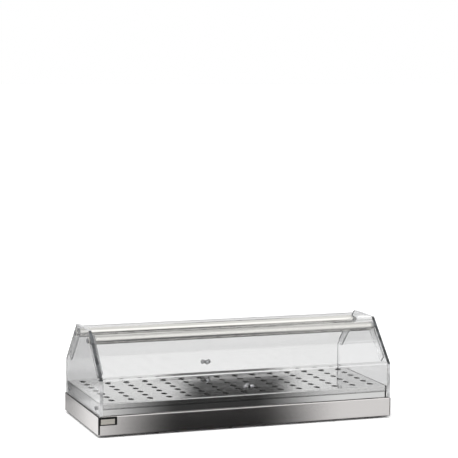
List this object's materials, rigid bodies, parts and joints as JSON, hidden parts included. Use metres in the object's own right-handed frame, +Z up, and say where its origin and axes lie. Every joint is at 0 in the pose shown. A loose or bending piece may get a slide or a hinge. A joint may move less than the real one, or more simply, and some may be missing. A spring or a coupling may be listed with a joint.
{
  "type": "ambient display case",
  "caption": "Low counter-top display case: steel base, perforated lift-out tray, clear side panels tied by two tubes, and a clear lift-up flap hinged about each tube.",
  "frame": {"origin": "on the counter, under the middle of the case", "axes": "+X to the right of someone who faces the front, +Y to the rear, +Z up; the front with the name plate faces -Y"},
  "size_m": [0.8556, 0.39, 0.27],
  "materials": {
    "satin_steel": "satin stainless sheet",
    "polished_steel": "polished stainless tube",
    "clear_acrylic": "clear cast acrylic, polished edges",
    "chrome": "bright chrome",
    "zinc_steel": "zinc plated steel",
    "black_rubber": "matte moulded rubber",
    "white_nylon": "natural nylon",
    "black_plastic": "black moulded plastic",
    "satin_silver": "satin silver sheet, blank"
  },
  "bodies": {
    "case": {"base_shell": "satin_steel", "base_pan": "satin_steel", "foot_front_1": "black_rubber", "foot_front_2": "black_rubber", "foot_front_3": "black_rubber", "foot_front_4": "black_rubber", "foot_front_5": "black_rubber", "foot_front_6": "black_rubber", "foot_rear_1": "black_rubber", "foot_rear_2": "black_rubber", "foot_rear_3": "black_rubber", "foot_rear_4": "black_rubber", "foot_rear_5": "black_rubber", "foot_rear_6": "black_rubber", "name_plate_frame": "black_plastic", "name_plate_insert": "satin_silver", "upstand_left": "satin_steel", "upstand_right": "satin_steel", "side_panel_left": "clear_acrylic", "side_panel_right": "clear_acrylic", "panel_screw_left_front": "chrome", "panel_screw_left_rear": "chrome", "panel_screw_right_front": "chrome", "panel_screw_right_rear": "chrome", "weld_nut_left_front": "zinc_steel", "weld_nut_left_rear": "zinc_steel", "weld_nut_right_front": "zinc_steel", "weld_nut_right_rear": "zinc_steel", "front_tube": "polished_steel", "rear_tube": "polished_steel", "tube_spigot_front_left": "satin_steel", "tube_spigot_front_right": "satin_steel", "tube_spigot_rear_left": "satin_steel", "tube_spigot_rear_right": "satin_steel", "cap_washer_front_left": "white_nylon", "cap_washer_front_right": "white_nylon", "cap_washer_rear_left": "white_nylon", "cap_washer_rear_right": "white_nylon", "cap_screw_front_left": "chrome", "cap_screw_front_right": "chrome", "cap_screw_rear_left": "chrome", "cap_screw_rear_right": "chrome"},
    "front_door": {"front_flap": "clear_acrylic", "front_cheek_left": "clear_acrylic", "front_cheek_right": "clear_acrylic", "front_pull": "chrome", "front_pull_screw": "zinc_steel"},
    "rear_door": {"rear_flap": "clear_acrylic", "rear_cheek_left": "clear_acrylic", "rear_cheek_right": "clear_acrylic", "rear_pull": "chrome", "rear_pull_screw": "zinc_steel"},
    "tray": {"perforated_tray": "satin_steel"}
  },
  "joints": [
    {"name": "front_flap_hinge", "type": "hinge", "parent": "case", "child": "front_door", "pos_m": [0, -0.06498, 0.243], "axis": [-1, 0, 0], "range_deg": [0, 150]},
    {"name": "rear_flap_hinge", "type": "hinge", "parent": "case", "child": "rear_door", "pos_m": [0, 0.06498, 0.243], "axis": [1, 0, 0], "range_deg": [0, 150]},
    {"name": "tray_lift", "type": "slide", "parent": "case", "child": "tray", "axis": [0, 0, 1], "range_m": [0, 0.05]}
  ]
}
